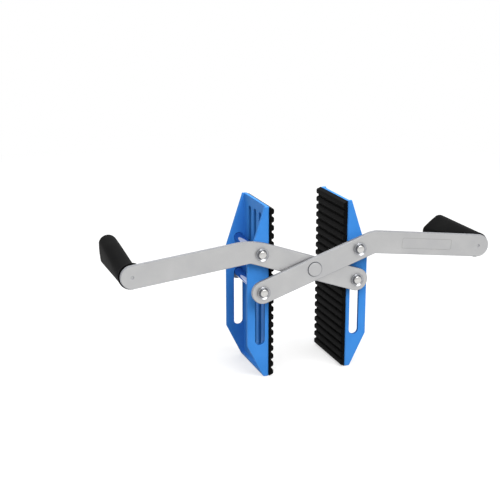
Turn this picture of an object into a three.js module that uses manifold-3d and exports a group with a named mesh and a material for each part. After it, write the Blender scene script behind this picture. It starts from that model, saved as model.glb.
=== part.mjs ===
// Stone carrying clamp for two people.
// Two flat steel arms cross at a centre pivot and carry a rubber handle at their outer ends.
// Each arm bears on both jaws: on one through an upper pin that turns in a round hole, and on
// the other through a lower pin that slides in a slot, so the jaws stay upright as they close.
// Millimetres. +X runs from the left handle to the right one, +Y from the arms towards the
// free ends of the handles, and +Z is up. The jaws stand at z = 0.

import * as THREE from 'three';
import { mergeVertices } from 'three/addons/utils/BufferGeometryUtils.js';
import Module from 'manifold-3d';

const wasm = await Module();
wasm.setup();

// Linkage, seen from the front with the clamp standing as it is stored
const restAngle = 19.2;          // degrees of both arms' inner stretches to the level
const droopAngle = 6.9;          // degrees by which the outer stretches fall away
const pivotDrop = 83.2;          // centre pivot below the tops of the jaws
const leftPinReach = 73.4;       // centre pivot to both pins of the left jaw
const rightPinReach = 65.6;      // centre pivot to both pins of the right jaw
const bendReach = 87.5;          // centre pivot to the bend
const handleReach = 154.5;       // bend to the handle's axis

// Clearances
const pinClearance = 0.3;        // round a pin in its hole or slot
const runningGap = 0.3;          // between flat faces that turn on each other
const keyClearance = 0.3;        // round the pad's keys in the web
const boreClearance = 0.3;       // between a handle's rod and its rubber
const cutOverrun = 2;            // how far a cutting solid passes the surface that it cuts

// Arms, cut from flat bar
const barWidth = 30;
const barThickness = 5;
const leftBendRadius = 95;       // outer edge of the left arm's bend
const rightBendRadius = 40;      // outer edge of the right arm's bend
const innerBendRadius = 5;       // inner edge of both bends
const pilotDiameter = 4;         // pilot of the handle's rod, in the arm's end
const pilotRecess = 1;           // its depth behind the arm's face

// Centre pivot, flush on both faces
const pivotDiameter = 10;
const pivotHeadDiameter = 18;
const pivotHeadDepth = 4;
const pivotWasherDiameter = 26;
const pivotWasherThickness = 1;

// Cross pins through the jaws
const pinDiameter = 12;
const pinHeadRim = 2.5;          // head past the shank all round
const pinHeadHeight = 4.2;
const pinTailRim = 2.5;
const pinTailHeight = 3;
const spacerWall = 3.7;
const washerRim = 4.5;           // washer past the shank all round
const washerThickness = 1.5;

// Jaws, each folded from one plate
const jawHeight = 226;
const jawWidth = 90;
const jawPlate = 4;
const jawStandoff = 2.2;         // rear arm's back to the jaw's near cheek
const foldRadius = 2.5;          // outside of the fold
const foldInnerRadius = 1;
const cheekDepth = 29.5;         // from the pad's plane to the cheek's outer edge
const crownDepth = 6.4;          // the same at the top
const toeDepth = 7.6;            // the same at the foot
const crownHeight = 70;          // upper stretch over which the cheek widens
const toeHeight = 44;            // lower stretch over which it narrows
const cheekCornerRadius = 2.5;
const pinRoom = 2.5;             // between the pins and the web

// Rubber pads
const padOverhang = 1.5;         // past the jaw on each side
const padInset = 0.5;            // short of the jaw at both ends
const padBase = 2.8;
const ribCount = 21;
const ribHeight = 2.9;
const ribWidthShare = 0.74;      // of the rib pitch, at the foot of a rib
const ribCrestShare = 0.26;      // of the rib pitch, flat on top
const keyWidth = 10;
const keyPitch = 20;
const keyCount = 3;
const keyMargin = 12.5;          // web left above and below the slots for the keys
const keyRecess = 2.5;           // keys' ends below the web's back

// Handles
const rodDiameter = 16;
const rodChamfer = 1.5;
const gripLength = 122;
const gripEndWall = 6;           // rubber past the end of the rod
const gripFlangeDiameter = 33.4;
const gripFlangeThickness = 3.2;
const gripNeckDiameter = 27.6;
const gripNeckFillet = 4;
const gripTipDiameter = 32.8;
const gripTipRadius = 6.5;
const gripEndDish = 0.8;         // hollow of the flat end

// Facets
const roundSteps = 30;           // round pieces
const arcSteps = 10;             // half the sides of each arc in an outline
const foldSteps = 4;             // the same in the jaws' folds
const keySteps = 5;              // the same at the ends of the keys
const ribSteps = 2;              // the same in a rib's shoulders
const domeSteps = 5;

// Places along the depth, from the front arm's front face
const frontArmFace = 0;
const frontArmBack = frontArmFace + barThickness;
const rearArmFace = frontArmBack + pivotWasherThickness + runningGap;
const rearArmBack = rearArmFace + barThickness;
const jawNear = rearArmBack + jawStandoff;
const jawFar = jawNear + jawWidth;
const washerNear = jawFar + runningGap;
const tailNear = washerNear + washerThickness;

// Places that follow from the linkage
const turn = Math.PI * 2;
const radians = (degrees) => THREE.MathUtils.degToRad(degrees);
const bendAngle = radians(restAngle + droopAngle);
const centreHeight = jawHeight - pivotDrop;
const pinBore = pinDiameter + 2 * pinClearance;
const slotRadius = pinBore / 2;
const pinSetback = jawPlate + pinRoom + pinDiameter / 2;
const pinAside = (reach) => reach * Math.cos(radians(restAngle));
const upperPinHeight = (reach) => centreHeight + reach * Math.sin(radians(restAngle));
const lowerPinHeight = (reach) => centreHeight - reach * Math.sin(radians(restAngle));

const finishes = {
  steel: { color: 0xc2c3c4, roughness: 0.38, metalness: 0.85 },
  rivet: { color: 0xd4d4d2, roughness: 0.22, metalness: 0.95 },
  paint: { color: 0x2f7fd6, roughness: 0.35, metalness: 0.1 },
  rubber: { color: 0x1f1f20, roughness: 0.75, metalness: 0 },
  nylon: { color: 0xd9d6cc, roughness: 0.6, metalness: 0 },
};

function piece(name, geometry, finish) {
  const mesh = new THREE.Mesh(geometry, new THREE.MeshStandardMaterial(finishes[finish]));
  mesh.name = name;
  return mesh;
}

// Closed solids for cutting and joining

function toSolid(geometry) {
  const bare = geometry.clone();
  bare.deleteAttribute('normal');
  bare.deleteAttribute('uv');
  const merged = mergeVertices(bare);
  const vertProperties = new Float32Array(merged.attributes.position.array);
  const triVerts = new Uint32Array(merged.index.array);
  return new wasm.Manifold(new wasm.Mesh({ numProp: 3, vertProperties, triVerts }));
}

function toGeometry(solid) {
  const { vertProperties, triVerts } = solid.getMesh();
  const geometry = new THREE.BufferGeometry();
  geometry.setAttribute('position', new THREE.BufferAttribute(vertProperties, 3));
  geometry.setIndex(new THREE.BufferAttribute(triVerts, 1));
  geometry.computeVertexNormals();
  return geometry;
}

// Moves every point of a geometry with a function of its three coordinates
function remap(geometry, place) {
  const points = geometry.attributes.position;
  for (let i = 0; i < points.count; i += 1) {
    const [x, y, z] = place(points.getX(i), points.getY(i), points.getZ(i));
    points.setXYZ(i, x, y, z);
  }
  return geometry;
}

// A plate whose outline is drawn in x and z, between two depths
function plateAcross(outline, near, far, steps = arcSteps) {
  const settings = { depth: far - near, bevelEnabled: false, curveSegments: steps };
  const geometry = new THREE.ExtrudeGeometry(outline, settings);
  return remap(geometry, (x, z, depth) => [x, far - depth, z]);
}

// A plate whose outline is drawn in y and z, between two places along x
function plateAlong(outline, from, to, steps = arcSteps) {
  const settings = { depth: to - from, bevelEnabled: false, curveSegments: steps };
  const geometry = new THREE.ExtrudeGeometry(outline, settings);
  return remap(geometry, (y, z, depth) => [from + depth, y, z]);
}

// A round piece on the depth axis, from a profile of [radius, depth] points
function turned(profile) {
  const points = profile.map(([radius, depth]) => new THREE.Vector2(radius, depth));
  return new THREE.LatheGeometry(points, roundSteps);
}

function ring(innerDiameter, outerDiameter, near, far) {
  const inner = innerDiameter / 2;
  const outer = outerDiameter / 2;
  return turned([[inner, near], [outer, near], [outer, far], [inner, far], [inner, near]]);
}

// The profile of a dome that bulges from a flat seat, from its middle to its rim
function dome(rim, height, seat, direction) {
  const sphere = (rim * rim + height * height) / (2 * height);
  const reach = Math.asin(rim / sphere);
  return Array.from({ length: domeSteps + 1 }, (_, i) => {
    const angle = (reach * i) / domeSteps;
    const rise = height - sphere * (1 - Math.cos(angle));
    return [sphere * Math.sin(angle), seat + direction * rise];
  });
}

function roundHole(x, z, diameter) {
  return new THREE.Path().absarc(x, z, diameter / 2, 0, turn, true);
}

// A slot with round ends, upright between the centres of its two ends
function slotPath(path, x, lowEnd, highEnd, radius) {
  path.absarc(x, highEnd, radius, 0, turn / 2, false);
  path.absarc(x, lowEnd, radius, turn / 2, turn, false);
  path.closePath();
  return path;
}

// Arms

// The arm lies with its inner stretch along x and its bend towards +x. upperReach is the
// distance to the pin on the handle's side and lowerReach to the pin at the short end.
function armOutline(upperReach, lowerReach, bendRadius) {
  const half = barWidth / 2;
  const lean = Math.tan(bendAngle / 2);
  const quarter = turn / 4;
  const handleX = bendReach + handleReach * Math.cos(bendAngle);
  const handleZ = -handleReach * Math.sin(bendAngle);
  const innerX = bendReach - (half + innerBendRadius) * lean;
  const outerX = bendReach + (half - bendRadius) * lean;
  const outline = new THREE.Shape();
  outline.moveTo(-lowerReach, -half);
  outline.lineTo(innerX, -half);
  outline.absarc(innerX, -half - innerBendRadius, innerBendRadius, quarter, quarter - bendAngle, true);
  outline.absarc(handleX, handleZ, half, -quarter - bendAngle, quarter - bendAngle, false);
  outline.absarc(outerX, half - bendRadius, bendRadius, quarter - bendAngle, quarter, false);
  outline.absarc(-lowerReach, 0, half, quarter, turn - quarter, false);
  outline.holes.push(
    roundHole(0, 0, pivotDiameter + 2 * pinClearance),
    roundHole(upperReach, 0, pinBore),
    roundHole(-lowerReach, 0, pinBore),
    roundHole(handleX, handleZ, pilotDiameter + 2 * pinClearance),
  );
  return outline;
}

// Cuts the seat of the centre pivot's flush head; direction is +1 into a front face
function countersink(face, direction) {
  const spread = pivotHeadDiameter / 2 + pinClearance;
  const throat = pivotDiameter / 2 + pinClearance;
  const slope = (spread - throat) / pivotHeadDepth;
  const wide = spread + slope * cutOverrun;
  const bottom = face + direction * pivotHeadDepth;
  const profile = [[0, face - direction * cutOverrun], [wide, face - direction * cutOverrun],
    [throat, bottom], [0, bottom]];
  return toSolid(turned(direction > 0 ? profile : profile.reverse()));
}

function armPlate(outline, near, sinkFace, direction) {
  const plate = toSolid(plateAcross(outline, near, near + barThickness));
  return toGeometry(plate.subtract(countersink(sinkFace, direction)));
}

// Turns a geometry over from left to right and keeps its faces pointing out
function mirrored(geometry) {
  const flat = geometry.index ? geometry.toNonIndexed() : geometry.clone();
  const source = flat.attributes.position;
  const flipped = new Float32Array(source.array.length);
  for (let i = 0; i < source.count; i += 1) {
    const corner = i % 3;
    const from = i - corner + (2 - corner);
    flipped.set([-source.getX(from), source.getY(from), source.getZ(from)], 3 * i);
  }
  const result = new THREE.BufferGeometry();
  result.setAttribute('position', new THREE.BufferAttribute(flipped, 3));
  result.computeVertexNormals();
  return result;
}

// A cross pin: domed head on the arm, shank through both cheeks, closed tail on the washer
function crossPin(armFace) {
  const shank = pinDiameter / 2;
  return turned([
    ...dome(shank + pinHeadRim, pinHeadHeight, armFace, -1),
    [shank, armFace],
    [shank, tailNear],
    ...dome(shank + pinTailRim, pinTailHeight, tailNear, 1).reverse(),
  ]);
}

// Everything that one cross pin holds, on the pin's own axis
function pinSet(name, armFace) {
  const armBack = armFace + barThickness;
  const sleeveDiameter = pinBore + 2 * spacerWall;
  const washerDiameter = pinDiameter + 2 * washerRim;
  const group = new THREE.Group();
  group.add(
    piece(`${name}_pin`, crossPin(armFace), 'rivet'),
    piece(`${name}_spacer`, ring(pinBore, sleeveDiameter, armBack, jawNear - runningGap), 'steel'),
    piece(`${name}_washer`, ring(pinBore, washerDiameter, washerNear, tailNear), 'steel'),
  );
  return group;
}

// Rod of a handle, butted on the arm's back, with a small pilot in the arm
function handleRod(armFace) {
  const armBack = armFace + barThickness;
  const rod = rodDiameter / 2;
  const end = armBack + gripLength - gripEndWall - boreClearance;
  return turned([
    [0, armFace + pilotRecess],
    [pilotDiameter / 2, armFace + pilotRecess],
    [pilotDiameter / 2, armBack],
    [rod, armBack],
    [rod, end - rodChamfer],
    [rod - rodChamfer, end],
    [0, end],
  ]);
}

// Rubber handle: a flange against the arm, a slim neck and a taper that widens to the tip
function handleGrip(armFace) {
  const near = armFace + barThickness;
  const bore = rodDiameter / 2 + boreClearance;
  const boreEnd = near + gripLength - gripEndWall;
  const flange = gripFlangeDiameter / 2;
  const flangeBack = near + gripFlangeThickness;
  const neck = gripNeckDiameter / 2;
  const tip = gripTipDiameter / 2;
  const far = near + gripLength;
  const bend = (centreRadius, centreDepth, radiusAcross, radiusDeep, from, to) => (
    Array.from({ length: domeSteps + 1 }, (_, i) => {
      const angle = from + ((to - from) * i) / domeSteps;
      return [
        centreRadius + radiusAcross * Math.cos(angle),
        centreDepth + radiusDeep * Math.sin(angle),
      ];
    })
  );
  return turned([
    [0, boreEnd],
    [bore, boreEnd],
    [bore, near],
    [flange, near],
    [flange, flangeBack],
    ...bend(flange, flangeBack + gripNeckFillet, flange - neck, gripNeckFillet, -turn / 4, -turn / 2),
    ...bend(tip - gripTipRadius, far - gripTipRadius, gripTipRadius, gripTipRadius, 0, turn / 4),
    [0, far - gripEndDish],
  ]);
}

// One arm with all that turns with it. side is +1 for the right arm, -1 for the left one.
function armGroup(side, names, face, sinkDirection, reaches, bendRadius) {
  const [upperReach, lowerReach] = reaches;
  const sinkFace = sinkDirection > 0 ? face : face + barThickness;
  const outline = armOutline(upperReach, lowerReach, bendRadius);
  const plate = armPlate(outline, face, sinkFace, sinkDirection);
  const handleX = bendReach + handleReach * Math.cos(bendAngle);
  const handleZ = -handleReach * Math.sin(bendAngle);
  const group = new THREE.Group();
  const upper = pinSet(names.upper, face);
  const lower = pinSet(names.lower, face);
  const handle = new THREE.Group();
  upper.position.x = side * upperReach;
  lower.position.x = -side * lowerReach;
  handle.position.set(side * handleX, 0, handleZ);
  handle.add(
    piece(`${names.arm}_handle_rod`, handleRod(face), 'steel'),
    piece(`${names.arm}_handle_grip`, handleGrip(face), 'rubber'),
  );
  group.add(piece(`${names.arm}_arm`, side > 0 ? plate : mirrored(plate), 'steel'));
  group.add(upper, lower, handle);
  group.rotation.y = -side * radians(restAngle);
  group.position.z = centreHeight;
  return group;
}

// Centre pivot with a flush head in each arm, and the washer that keeps the arms apart
function centrePivot() {
  const head = pivotHeadDiameter / 2;
  const shank = pivotDiameter / 2;
  const group = new THREE.Group();
  group.add(piece('centre_pivot', turned([
    [0, frontArmFace],
    [head, frontArmFace],
    [shank, frontArmFace + pivotHeadDepth],
    [shank, rearArmBack - pivotHeadDepth],
    [head, rearArmBack],
    [0, rearArmBack],
  ]), 'rivet'));
  const bore = pivotDiameter + 2 * pinClearance;
  const washerBack = frontArmBack + pivotWasherThickness;
  group.add(piece('centre_washer', ring(bore, pivotWasherDiameter, frontArmBack, washerBack), 'nylon'));
  group.position.z = centreHeight;
  return group;
}

// Jaws, drawn with the pad's plane at x = 0 and the cheeks towards +x

// Side view of a cheek with the round hole of its upper pin and the slot of its lower pin.
// The clamp stands with its lower pins at the tops of their slots.
function cheekOutline(reach) {
  const flareStart = jawHeight - crownHeight;
  const corner = cheekCornerRadius;
  const toeSlope = (cheekDepth - toeDepth) / toeHeight;
  const outline = new THREE.Shape();
  outline.moveTo(-cutOverrun, 0);
  outline.lineTo(toeDepth - corner, 0);
  outline.quadraticCurveTo(toeDepth, 0, toeDepth + corner * toeSlope, corner);
  outline.lineTo(cheekDepth, toeHeight);
  outline.lineTo(cheekDepth, flareStart);
  outline.lineTo(crownDepth, jawHeight);
  outline.lineTo(-cutOverrun, jawHeight);
  outline.closePath();
  outline.holes.push(
    roundHole(pinSetback, upperPinHeight(reach), 2 * slotRadius),
    slotPath(new THREE.Path(), pinSetback, toeHeight + slotRadius, lowerPinHeight(reach), slotRadius),
  );
  return outline;
}

// Plan view of the folded channel: web at x = 0, a cheek at each side
function channelOutline() {
  const end = cheekDepth + cutOverrun;
  const innerNear = jawNear + jawPlate;
  const innerFar = jawFar - jawPlate;
  const quarter = turn / 4;
  const corner = jawPlate + foldInnerRadius;
  const outline = new THREE.Shape();
  outline.moveTo(end, jawNear);
  outline.lineTo(end, innerNear);
  outline.absarc(corner, innerNear + foldInnerRadius, foldInnerRadius, -quarter, -2 * quarter, true);
  outline.absarc(corner, innerFar - foldInnerRadius, foldInnerRadius, 2 * quarter, quarter, true);
  outline.lineTo(end, innerFar);
  outline.lineTo(end, jawFar);
  outline.absarc(foldRadius, jawFar - foldRadius, foldRadius, quarter, 2 * quarter, false);
  outline.absarc(foldRadius, jawNear + foldRadius, foldRadius, 2 * quarter, 3 * quarter, false);
  outline.closePath();
  return outline;
}

// Keys of the pad, or the slots for them, as upright plates side by side along the web
function keyRow(width, margin, from, to) {
  const middle = (jawNear + jawFar) / 2;
  const radius = width / 2;
  return Array.from({ length: keyCount }, (_, i) => {
    const y = middle + (i - (keyCount - 1) / 2) * keyPitch;
    const path = slotPath(new THREE.Shape(), y, margin + radius, jawHeight - margin - radius, radius);
    return toSolid(plateAlong(path, from, to, keySteps));
  });
}

function jawShell(reach) {
  const settings = { depth: jawHeight, bevelEnabled: false, curveSegments: foldSteps };
  const channel = toSolid(new THREE.ExtrudeGeometry(channelOutline(), settings));
  const side = toSolid(plateAcross(cheekOutline(reach), jawNear - cutOverrun, jawFar + cutOverrun));
  const slots = keyRow(keyWidth, keyMargin, -cutOverrun, jawPlate + cutOverrun);
  const shell = slots.reduce((solid, slot) => solid.subtract(slot), channel.intersect(side));
  return toGeometry(shell);
}

// Side view of a pad: a flat back and a comb of level ribs with flat crests
function padOutline() {
  const low = padInset;
  const high = jawHeight - padInset;
  const pitch = (high - low) / ribCount;
  const footHalf = (pitch * ribWidthShare) / 2;
  const crestHalf = (pitch * ribCrestShare) / 2;
  const shoulder = footHalf - crestHalf;
  const quarter = turn / 4;
  const outline = new THREE.Shape();
  outline.moveTo(0, low);
  outline.lineTo(0, high);
  outline.lineTo(-padBase, high);
  for (let i = ribCount - 1; i >= 0; i -= 1) {
    const z = low + (i + 1 / 2) * pitch;
    outline.absellipse(-padBase, z + crestHalf, ribHeight, shoulder, quarter, 2 * quarter, false, 0);
    outline.absellipse(-padBase, z - crestHalf, ribHeight, shoulder, 2 * quarter, 3 * quarter, false, 0);
  }
  outline.lineTo(-padBase, low);
  outline.closePath();
  return outline;
}

function padBody() {
  const near = jawNear - padOverhang;
  const far = jawFar + padOverhang;
  const comb = toSolid(plateAcross(padOutline(), near, far, ribSteps));
  const width = keyWidth - 2 * keyClearance;
  const keys = keyRow(width, keyMargin + keyClearance, -padBase / 2, jawPlate - keyRecess);
  return toGeometry(keys.reduce((solid, key) => solid.add(key), comb));
}

// A jaw and its pad; side is +1 on the right, -1 on the left
function jawGroup(side, name, reach) {
  const shell = jawShell(reach);
  const pad = padBody();
  const group = new THREE.Group();
  group.add(
    piece(`${name}_jaw`, side > 0 ? shell : mirrored(shell), 'paint'),
    piece(`${name}_pad`, side > 0 ? pad : mirrored(pad), 'rubber'),
  );
  group.position.x = side * (pinAside(reach) - pinSetback);
  return group;
}

// Assembly

const clamp = new THREE.Group();
const leftNames = { arm: 'left', upper: 'left_upper', lower: 'right_lower' };
const rightNames = { arm: 'right', upper: 'right_upper', lower: 'left_lower' };
const leftReaches = [leftPinReach, rightPinReach];
const rightReaches = [rightPinReach, leftPinReach];
clamp.add(
  jawGroup(-1, 'left', leftPinReach),
  jawGroup(1, 'right', rightPinReach),
  armGroup(-1, leftNames, rearArmFace, -1, leftReaches, leftBendRadius),
  armGroup(1, rightNames, frontArmFace, 1, rightReaches, rightBendRadius),
  centrePivot(),
);

// The origin lies under the middle of the whole depth, from the foremost pin head to the
// rear arm's handle tip
const foremost = frontArmFace - pinHeadHeight;
const rearmost = rearArmBack + gripLength;
clamp.position.y = -(foremost + rearmost) / 2;

export default clamp;
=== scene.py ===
# Stone carrying clamp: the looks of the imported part.
# Sizes are in millimetres and go to Blender's metres where a mesh is made. Only the floor, the
# lights and the camera have their sizes and places in metres.

import math

import bmesh
import bpy
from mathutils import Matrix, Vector


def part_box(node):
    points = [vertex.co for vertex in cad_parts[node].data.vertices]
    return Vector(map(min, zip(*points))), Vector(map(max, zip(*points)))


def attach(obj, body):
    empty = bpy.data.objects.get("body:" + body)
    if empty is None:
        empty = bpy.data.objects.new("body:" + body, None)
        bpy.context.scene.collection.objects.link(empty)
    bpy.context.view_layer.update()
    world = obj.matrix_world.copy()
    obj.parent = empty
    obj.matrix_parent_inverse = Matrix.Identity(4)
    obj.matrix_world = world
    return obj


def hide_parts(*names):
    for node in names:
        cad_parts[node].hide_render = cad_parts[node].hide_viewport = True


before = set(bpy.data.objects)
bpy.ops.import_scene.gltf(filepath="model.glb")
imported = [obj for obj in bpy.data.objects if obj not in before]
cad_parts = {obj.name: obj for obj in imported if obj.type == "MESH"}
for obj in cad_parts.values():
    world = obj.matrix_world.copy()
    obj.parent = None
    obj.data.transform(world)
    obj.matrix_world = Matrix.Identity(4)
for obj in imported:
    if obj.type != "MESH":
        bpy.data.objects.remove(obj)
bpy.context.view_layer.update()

MM = 0.001

# Sizes of the real piece that its solids don't tell by their boxes
CLEARANCE = 0.3              # round a pin, the pivot or a key

# Linkage, seen from the front
REST_ANGLE = 19.2            # both arms' inner stretches to the level, degrees
DROOP_ANGLE = 6.9            # their outer stretches below the level, degrees
LEFT_REACH = 73.4            # centre pivot to both pins of the left jaw
RIGHT_REACH = 65.6           # centre pivot to both pins of the right jaw
BEND_REACH = 87.5            # centre pivot to the bend
HANDLE_REACH = 154.5         # bend to the handle's axis

# Arms
BAR_WIDTH = 30
LEFT_BEND_RADIUS = 95        # outer edge of the left arm's bend
RIGHT_BEND_RADIUS = 40       # outer edge of the right arm's bend
INNER_BEND_RADIUS = 5        # inner edge of both bends
BAR_EDGE_ROUND = 0.9         # left on the bars' edges by the tumbling barrel
PILOT_HOLE = 4.6             # across its rounded lip

# Centre pivot
PIVOT_SHANK = 10
PIVOT_HEAD = 18
PIVOT_HEAD_DEPTH = 4
PIVOT_RIM = 1                # of the head's straight rim, below the arm's face
PIVOT_PROUD = 1.1            # of the head, past the arm's face
PIVOT_CHAMFER = 0.3

# Cross pins, with depths counted from the top of the head
PIN_SHANK = 12
PIN_BORE = PIN_SHANK + 2 * CLEARANCE
PIN_SETBACK = 12.5           # from the pad's plane
PIN_HEAD_HEIGHT = 4.2
PIN_TAIL_HEIGHT = 3
PIN_TAIL_RIM = 0.3
BUTTON_RADIUS = 4.9
BUTTON_CROWN = 1.3
BUTTON_EDGE_DEPTH = 1.5
DISH_RADIUS = 5.2            # where the dish is deepest, against the button
DISH_DEPTH = 3
LIP_ROUND = 0.45             # radius of the head's rolled lip
LIP_DEPTH = 1.3
LIP_CENTRE_DEPTH = 1.73
RING_CHAMFER = 0.35          # on the sleeves and the steel washers
NYLON_CHAMFER = 0.2

# Jaws, each folded from one plate
PLATE = 4
FOLD_OUTSIDE = 2.5
FOLD_INSIDE = 1
FOLD_REACH = 6               # from the outside corner to where both skins run straight
CHEEK_DEPTH = 29.5
CROWN_DEPTH = 6.4
TOE_DEPTH = 7.6
CROWN_HEIGHT = 70
TOE_HEIGHT = 44
TOE_CORNER = 1.6
UPPER_HOLE = 12.1            # round the upper pin
JAW_EDGE_ROUND = 0.6         # left on a cut edge by its grinding and its coat

# Foot, the plate's lower end between the cheeks
FOOT_GAP = 0.05              # of its front behind the toe's edge
FOOT_LIP = ((1.6, 0), (0.5, 0.15), (0, 0.6))    # its lower edge: back from its front, and up
FOOT_ROUND = 0.6
FOOT_ROOT = 0.6              # of its back in the web
FOOT_TONGUE = 0.2            # of its ends in the cheeks

# Pads
PAD_BASE = 2.8
PAD_EDGE_ROUND = 0.45
RIB_COUNT = 21
RIB_HEIGHT = 2.9
RIB_FOOT_SHARE = 0.74        # of the rib pitch
RIB_CREST_SHARE = 0.26       # of the rib pitch
KEY_WIDTH = 10
KEY_PITCH = 20
KEY_MARGIN = 12.5            # web left above and below the slots for the keys
KEY_RECESS = 3.4             # of a key's end below the web's inner face, so the blue walls show
KEY_ROOT = 1                 # of a key in the pad's base
KEY_EDGE_ROUND = 0.5

# Handles, with their flange at the arm
FLANGE_RADIUS = 16.7
FLANGE_THICKNESS = 5
FLANGE_NEAR_ROUND = 0.8
FLANGE_FAR_ROUND = 1.4
THROAT_RADIUS = 13.6
THROAT_FILLET = 4            # along the handle, from the flange to the throat
GRIP_END_ROUND = 6.5
GRIP_END_WALL = 6
GRIP_END_DISH = ((4, 0.1), (0, 0.2))            # of the flat end: radius and depth
ROD_BORE_RADIUS = 8.3
ROD_BORE_CHAMFER = 0.5
OVAL_BLEND_SHARE = 0.3       # of the radius, over which the oval's two round sides part

# Etched frame
ETCHED_WIDTH = 73
ETCHED_HEIGHT = 14
ETCHED_CORNER = 2.5
ETCHED_LINE = 0.5
ETCHED_REACH = 76.5          # from the arm's bend to the frame's middle
ETCHED_THICKNESS = 0.08
ETCHED_EDGE_ROUND = 0.01
ETCHED_PROUD = 0.03          # of the arm's face

# Points of the round forms
ARC_STEPS = 16
HOLE_STEPS = 48
BAR_END_STEPS = 40
OUTER_BEND_STEPS = 24
SMALL_BEND_STEPS = 6
SMALL_ROUND_STEPS = 5
RIB_STEPS = 7
TAIL_STEPS = 10
TURNED_STEPS = 72
GRIP_STEPS = 96
GRIP_LENGTH_STEPS = 14
GRIP_FILLET_STEPS = 8
SHARP_ANGLE = 38             # of an edge that isn't shaded smooth, degrees
WELD = 0.002                 # between points that are one
ON_FOLD = 1e-4               # of a point from a fold line that it lies on
TINY = 1e-6                  # a length below this counts as none


def box_mm(node):
    """Lowest and highest corner of a node, in millimetres."""
    low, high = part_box(node)
    return Vector(low) / MM, Vector(high) / MM


def axis_of(node):
    """Place of a round node's own axis, in x and z."""
    low, high = box_mm(node)
    return (low.x + high.x) / 2, (low.z + high.z) / 2


def show(thing):
    bpy.context.scene.collection.objects.link(thing)
    return thing


# Finishes

def colour(code):
    """An sRGB hex colour as the linear colour that the shaders take."""
    def channel(pair):
        value = int(pair, 16) / 255
        return value / 12.92 if value <= 0.04045 else ((value + 0.055) / 1.055) ** 2.4
    return (*(channel(code[i:i + 2]) for i in (1, 3, 5)), 1.0)


def per_metre(size):
    """Scale of a noise whose grains are this many millimetres wide."""
    return 1 / (size * MM)


def rings_per_metre(size):
    """Scale of a ring wave whose crests are this many millimetres apart. At a scale of 1 they
    are 0.314 m apart."""
    return 0.314 / (size * MM)


def add(owner, kind, settings=None, links=None):
    """Adds a node to a material or the world. The settings are its properties, its plain socket
    values and a ramp's stops, and the links join its sockets to other nodes' outputs."""
    node = owner.node_tree.nodes.new(kind)
    for name, value in (settings or {}).items():
        if name == "stops":
            for _ in value[2:]:
                node.color_ramp.elements.new(1.0)
            for stop, (position, code) in zip(node.color_ramp.elements, value):
                stop.position, stop.color = position, colour(code)
        elif isinstance(name, int) or name in node.inputs:
            node.inputs[name].default_value = value
        else:
            setattr(node, name, value)
    for name, output in (links or {}).items():
        owner.node_tree.links.new(output, node.inputs[name])
    return node


def new_material(name):
    material = bpy.data.materials.new(name)
    material.use_nodes = True
    material.node_tree.nodes.clear()
    return material


def powder_coat():
    """Polyester powder coat, sprayed and stoved on steel: a deep blue of middle gloss whose
    skin has the soft waves of orange peel, 2 mm apart, with a finer ripple between them."""
    coat = new_material("blue_powder_coat")
    where = add(coat, "ShaderNodeTexCoord").outputs["Object"]
    peel = add(coat, "ShaderNodeTexNoise", {"Scale": per_metre(2.2), "Detail": 2.0}, {"Vector": where})
    ripple = add(coat, "ShaderNodeTexNoise", {"Scale": per_metre(0.7), "Detail": 1.0}, {"Vector": where})
    cloud = add(coat, "ShaderNodeTexNoise", {"Scale": per_metre(45), "Detail": 3.0}, {"Vector": where})
    shade = add(coat, "ShaderNodeValToRGB",
                {"stops": [(0.3, "#3D8ADD"), (0.55, "#428FE3"), (0.75, "#4895E9")]},
                {"Fac": cloud.outputs["Fac"]})
    waves = add(coat, "ShaderNodeBump", {"Strength": 0.35, "Distance": 0.06 * MM},
                {"Height": peel.outputs["Fac"]})
    skin = add(coat, "ShaderNodeBump", {"Strength": 0.2, "Distance": 0.02 * MM},
               {"Height": ripple.outputs["Fac"], "Normal": waves.outputs["Normal"]})
    gloss = add(coat, "ShaderNodeMapRange", {"To Min": 0.4, "To Max": 0.52}, {"Value": ripple.outputs["Fac"]})
    shader = add(coat, "ShaderNodeBsdfPrincipled",
                 {"Metallic": 0.0, "IOR": 1.5, "Specular IOR Level": 0.07},
                 {"Base Color": shade.outputs["Color"], "Roughness": gloss.outputs["Result"],
                  "Normal": skin.outputs["Normal"]})
    add(coat, "ShaderNodeOutputMaterial", links={"Surface": shader.outputs["BSDF"]})
    return coat


def slot_wall_shade_coat():
    """The same coat painted a deeper blue on the walls of the slots and round holes at the pins:
    painted shade for inner walls that lie in shade, a deeper blue line round each opening."""
    coat = new_material("slot_wall_painted_shade")
    where = add(coat, "ShaderNodeTexCoord").outputs["Object"]
    speck = add(coat, "ShaderNodeTexNoise", {"Scale": per_metre(0.9), "Detail": 2.0}, {"Vector": where})
    shade = add(coat, "ShaderNodeValToRGB", {"stops": [(0.3, "#1E579A"), (0.7, "#245FA3")]},
                {"Fac": speck.outputs["Fac"]})
    skin = add(coat, "ShaderNodeBump", {"Strength": 0.3, "Distance": 0.05 * MM},
               {"Height": speck.outputs["Fac"]})
    gloss = add(coat, "ShaderNodeMapRange", {"To Min": 0.5, "To Max": 0.62}, {"Value": speck.outputs["Fac"]})
    shader = add(coat, "ShaderNodeBsdfPrincipled",
                 {"Metallic": 0.0, "IOR": 1.5, "Specular IOR Level": 0.07},
                 {"Base Color": shade.outputs["Color"], "Roughness": gloss.outputs["Result"],
                  "Normal": skin.outputs["Normal"]})
    add(coat, "ShaderNodeOutputMaterial", links={"Surface": shader.outputs["BSDF"]})
    return coat


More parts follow.
